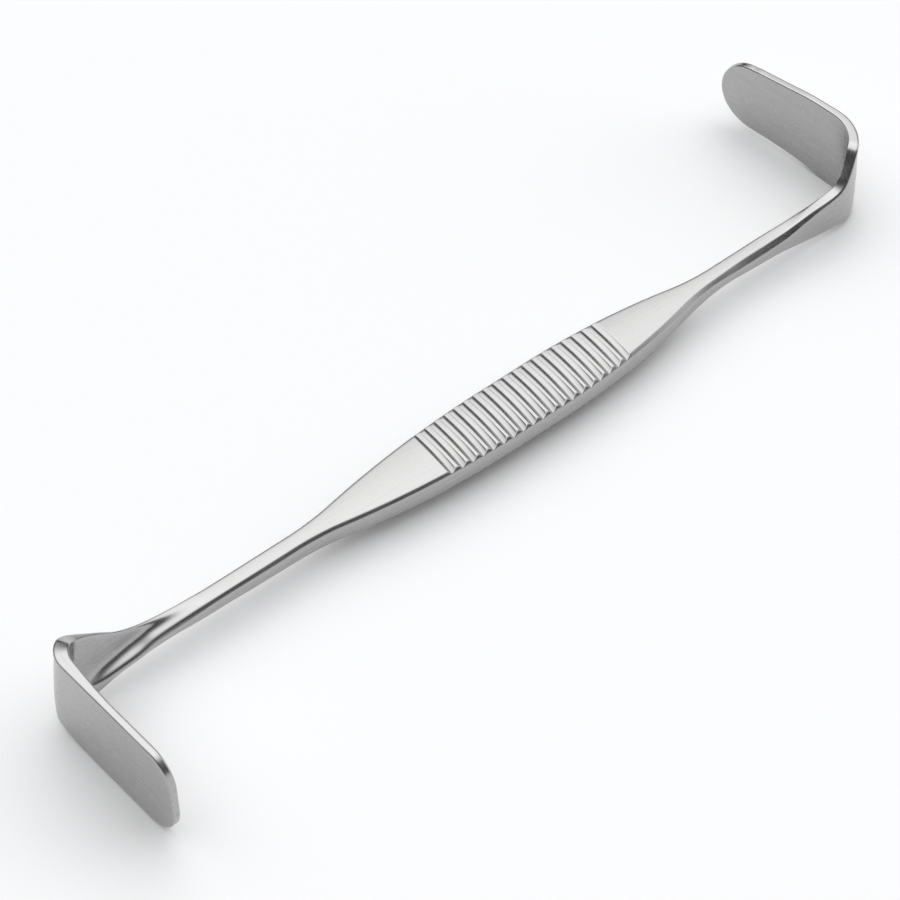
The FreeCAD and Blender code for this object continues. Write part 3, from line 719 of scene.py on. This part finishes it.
def ribTree(material):
    # cuts the same row of cross grooves into the grip's upper and lower faces
    tree = bpy.data.node_groups.new("ribTree", "GeometryNodeTree")
    face = tree.interface
    face.new_socket("Geometry", in_out="INPUT", socket_type="NodeSocketGeometry")
    unit = tool["unit"]
    crown = grip["crownShare"] * 2 * grip["halfWidth"]
    rise = crown * (1 - grip["crownSink"])
    sizes = {
        "count": ribs["count"], "pitch": ribs["pitch"] * unit, "depth": ribs["depth"] * unit,
        "land": ribs["land"], "fall": ribs["fall"], "fallPower": ribs["fallPower"],
        "risePower": ribs["risePower"], "lip": ribs["lip"], "lipPower": ribs["lipPower"],
        "bow": ribs["bow"], "spread": ribs["spread"], "lean": ribs["lean"], "blend": ribs["blend"] * unit,
        "middleX": tool["middleX"] * unit, "middleY": tool["middleY"] * unit,
        "topZ": (grip["top"] + rise) * unit, "lowZ": (grip["underside"] - crown) * unit,
    }
    settings = []
    for label, number in sizes.items():
        socket = face.new_socket(label, in_out="INPUT", socket_type="NodeSocketFloat")
        socket.default_value = number
        settings.append((socket.identifier, float(number)))
    face.new_socket("Geometry", in_out="OUTPUT", socket_type="NodeSocketGeometry")
    nodes, links = tree.nodes, tree.links
    start = nodes.new("NodeGroupInput")
    stop = nodes.new("NodeGroupOutput")
    size = start.outputs

    def maths(operation, *items):
        node = nodes.new("ShaderNodeMath")
        node.operation = operation
        for slot, item in enumerate(items):
            if isinstance(item, (int, float)):
                node.inputs[slot].default_value = item
            else:
                links.new(item, node.inputs[slot])
        return node.outputs[0]

    def clamped(item):
        return maths("MAXIMUM", maths("MINIMUM", item, 1.0), 0.0)

    position = nodes.new("GeometryNodeInputPosition")
    split = nodes.new("ShaderNodeSeparateXYZ")
    links.new(position.outputs[0], split.inputs[0])
    height = split.outputs["Z"]
    across = maths("SUBTRACT", split.outputs["Y"], size["middleY"])
    phase = maths("DIVIDE", maths("SUBTRACT", split.outputs["X"], size["middleX"]), size["pitch"])
    zoneEnd = maths("ADD", maths("DIVIDE", size["count"], 2), 0.5)
    inZone = maths("LESS_THAN", maths("ABSOLUTE", phase), zoneEnd)

    # each groove falls away from a narrow land, then rises on a gentle ramp with a steep lip
    share = maths("FRACT", maths("ADD", phase, 0.5))
    half = maths("DIVIDE", size["land"], 2)
    deepest = maths("ADD", half, size["fall"])
    last = maths("SUBTRACT", 1.0, half)
    falling = clamped(maths("DIVIDE", maths("SUBTRACT", share, half), size["fall"]))
    falling = maths("POWER", falling, size["fallPower"])
    rising = clamped(maths("DIVIDE", maths("SUBTRACT", share, deepest), maths("SUBTRACT", last, deepest)))
    rampShare = maths("SUBTRACT", 1.0, size["lip"])
    ramp = maths("MULTIPLY", maths("POWER", rising, size["risePower"]), rampShare)
    lip = maths("MULTIPLY", maths("POWER", rising, size["lipPower"]), size["lip"])
    deep = maths("MULTIPLY", maths("SUBTRACT", falling, maths("ADD", ramp, lip)), size["depth"])

    # the cut bows with the crown and grows deeper towards the near edge
    squared = maths("MULTIPLY", across, across)
    leaning = maths("MULTIPLY", across, size["lean"])
    deeper = maths("SUBTRACT", maths("MULTIPLY", squared, size["spread"]), leaning)
    deep = maths("MULTIPLY", deep, maths("ADD", deeper, 1.0))
    sag = maths("MULTIPLY", squared, size["bow"])
    sunk = maths("SUBTRACT", maths("ADD", deep, sag), maths("DIVIDE", size["blend"], 2))
    upper = maths("SMOOTH_MIN", height, maths("SUBTRACT", size["topZ"], sunk), size["blend"])
    lower = maths("SMOOTH_MAX", height, maths("ADD", size["lowZ"], sunk), size["blend"])
    change = maths("SUBTRACT", maths("ADD", upper, lower), maths("MULTIPLY", height, 2.0))
    offset = nodes.new("ShaderNodeCombineXYZ")
    links.new(maths("MULTIPLY", change, inZone), offset.inputs["Z"])
    move = nodes.new("GeometryNodeSetPosition")
    links.new(size["Geometry"], move.inputs["Geometry"])
    links.new(offset.outputs[0], move.inputs["Offset"])
    real = nodes.new("GeometryNodeRealizeInstances")
    links.new(move.outputs[0], real.inputs[0])
    paint = nodes.new("GeometryNodeSetMaterial")
    paint.inputs["Material"].default_value = material
    links.new(real.outputs[0], paint.inputs["Geometry"])
    links.new(paint.outputs[0], stop.inputs[0])
    return tree, settings


def applyRibs(piece, material):
    # runs the tree once and keeps its result as a plain mesh
    tree, settings = ribTree(material)
    modifier = piece.modifiers.new("ribs", "NODES")
    modifier.node_group = tree
    for identifier, number in settings:
        modifier[identifier] = number
    bpy.context.view_layer.update()
    evaluated = piece.evaluated_get(bpy.context.evaluated_depsgraph_get())
    mesh = bpy.data.meshes.new_from_object(evaluated)
    piece.modifiers.clear()
    piece.data = mesh


# Stage

studio = {
    "floor": (0.965, 0.97, 0.978, 1.0),
    "floorSize": 6.0,
    "lightFrom": (0.12, 0.27, 0.955),
    "lightInner": 5.0,      # degrees from its middle where the soft light starts to fade
    "lightOuter": 62.0,
    "lightPower": 2.4,
    "sideFrom": (0.86, -0.45, 0.24),
    "sideInner": 8.0,
    "sideOuter": 34.0,
    "sidePower": 1.6,
    "sky": [(0.0, 0.05), (0.2, 0.07), (0.45, 0.17), (0.75, 0.28), (1.0, 0.32)],   # height and grey level
    "skyBlue": 1.01,
    "strength": 0.755,
}


def makeStage():
    bpy.ops.mesh.primitive_grid_add(x_subdivisions=4, y_subdivisions=4, size=studio["floorSize"],
                                    location=(0, 0, 0))
    floor = bpy.context.object
    floor.name = "floor"
    paint = bpy.data.materials.new("paleFloor")
    paint.use_nodes = True
    shader = paint.node_tree.nodes["Principled BSDF"]
    shader.inputs["Base Color"].default_value = studio["floor"]
    shader.inputs["Roughness"].default_value = 1.0
    shader.inputs["Specular IOR Level"].default_value = 0.0
    floor.data.materials.append(paint)


def makeSky():
    # a grey studio, darker low down, with a broad soft light above and a low one at the right
    sky = bpy.data.worlds.new("studio")
    scene.world = sky
    sky.use_nodes = True
    nodes, links = sky.node_tree.nodes, sky.node_tree.links
    back = nodes["Background"]
    coordinate = nodes.new("ShaderNodeTexCoord")
    split = nodes.new("ShaderNodeSeparateXYZ")
    ramp = nodes.new("ShaderNodeValToRGB")
    links.new(coordinate.outputs["Generated"], split.inputs[0])
    links.new(split.outputs["Z"], ramp.inputs[0])
    stops = ramp.color_ramp.elements
    while len(stops) < len(studio["sky"]):
        stops.new(0.5)
    for stop, (height, level) in zip(stops, studio["sky"]):
        stop.position = height
        stop.color = (level, level, level * studio["skyBlue"], 1)

    def softLight(under, name):
        # adds a soft round patch of light to what is under it
        toward = nodes.new("ShaderNodeVectorMath")
        toward.operation = "DOT_PRODUCT"
        toward.inputs[1].default_value = studio[name + "From"]
        links.new(coordinate.outputs["Generated"], toward.inputs[0])
        fade = nodes.new("ShaderNodeMapRange")
        fade.interpolation_type = "SMOOTHSTEP"
        fade.inputs["From Min"].default_value = math.cos(math.radians(studio[name + "Outer"]))
        fade.inputs["From Max"].default_value = math.cos(math.radians(studio[name + "Inner"]))
        fade.inputs["To Max"].default_value = studio[name + "Power"]
        links.new(toward.outputs["Value"], fade.inputs["Value"])
        total = nodes.new("ShaderNodeVectorMath")
        total.operation = "ADD"
        links.new(under, total.inputs[0])
        links.new(fade.outputs["Result"], total.inputs[1])
        return total.outputs[0]

    lit = softLight(ramp.outputs[0], "light")
    lit = softLight(lit, "side")
    links.new(lit, back.inputs[0])
    back.inputs["Strength"].default_value = studio["strength"]


view = {
    "lens": 132.0,
    "sensor": 36.0,
    "place": (-0.19019252, -0.22430914, 0.39087941),
    "turn": (36.81997256, -0.52642771, -38.76906729),   # degrees
}


def makeCamera():
    lens = bpy.data.cameras.new("camera")
    lens.lens = view["lens"]
    lens.sensor_width = view["sensor"]
    lens.sensor_fit = "HORIZONTAL"
    lens.clip_start = 0.01
    lens.clip_end = 20.0
    eye = bpy.data.objects.new("camera", lens)
    eye.location = view["place"]
    eye.rotation_euler = [math.radians(angle) for angle in view["turn"]]
    scene.collection.objects.link(eye)
    scene.camera = eye


makeCamera()
print("camera placed")
rings, brush = assemble()
print("rings made:", len(rings))
metal = steelMaterial()
print("steel made")
mesh = makeMesh("retractorBody", rings, brush)
piece = bpy.data.objects.new("retractorBody", mesh)
scene.collection.objects.link(piece)
mesh.materials.append(metal)
applyRibs(piece, metal)
print("ribs cut:", ribs["count"])
piece.data.name = "retractorBody"
for polygon in piece.data.polygons:
    polygon.use_smooth = True
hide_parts("retractor")
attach(piece, "root")
print("body made:", len(piece.data.vertices), "points")
makeStage()
makeSky()
scene.view_settings.view_transform = "Standard"
print("stage made")
